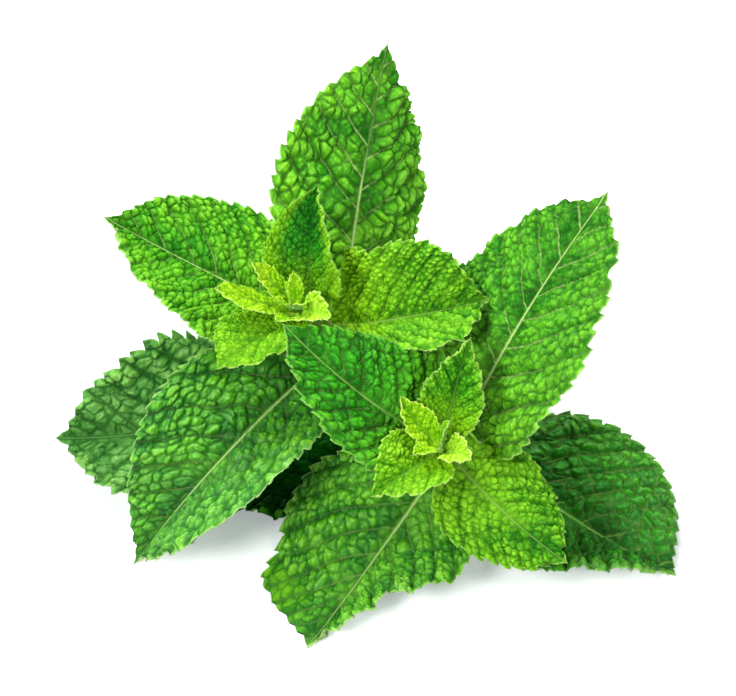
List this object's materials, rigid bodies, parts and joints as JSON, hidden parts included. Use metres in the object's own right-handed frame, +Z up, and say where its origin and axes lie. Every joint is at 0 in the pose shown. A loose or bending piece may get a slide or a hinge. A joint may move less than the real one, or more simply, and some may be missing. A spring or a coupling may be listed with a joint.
{
  "type": "mint sprig",
  "caption": "Forked sprig of fresh mint lying on a table: two leafy shoots on a square stem, with opposite pairs of toothed, deeply veined green leaves.",
  "frame": {"origin": "on the surface the sprig lies on, under the middle of its box", "axes": "+Z up from the surface; the stem's cut end points to +Y and the growing tips lean towards -Y; +X to the right when looking from the tips to the cut end"},
  "size_m": [0.127, 0.131, 0.0704],
  "materials": {
    "stem": "matte",
    "old_leaf": "satin",
    "grown_leaf": "satin",
    "young_leaf": "satin"
  },
  "bodies": {
    "root": {"main_stem": "stem", "side_stem": "stem", "fork_left_leaf": "old_leaf", "fork_right_leaf": "old_leaf", "main_far_left_leaf": "old_leaf", "main_far_right_leaf": "old_leaf", "side_low_left_leaf": "old_leaf", "side_low_right_leaf": "old_leaf", "main_top_leaf": "grown_leaf", "main_low_left_leaf": "grown_leaf", "main_left_leaf": "grown_leaf", "main_right_leaf": "grown_leaf", "side_back_leaf": "grown_leaf", "side_front_leaf": "grown_leaf", "side_upper_left_leaf": "grown_leaf", "side_upper_right_leaf": "grown_leaf", "main_young_up_leaf": "young_leaf", "main_young_low_leaf": "young_leaf", "main_small_left_leaf": "young_leaf", "main_small_right_leaf": "young_leaf", "main_tiny_up_leaf": "young_leaf", "main_tiny_low_leaf": "young_leaf", "main_bud_up_leaf": "young_leaf", "main_bud_low_leaf": "young_leaf", "side_young_up_leaf": "young_leaf", "side_young_low_leaf": "young_leaf", "side_small_left_leaf": "young_leaf", "side_small_right_leaf": "young_leaf", "side_bud_up_leaf": "young_leaf", "side_bud_low_leaf": "young_leaf"}
  },
  "joints": []
}
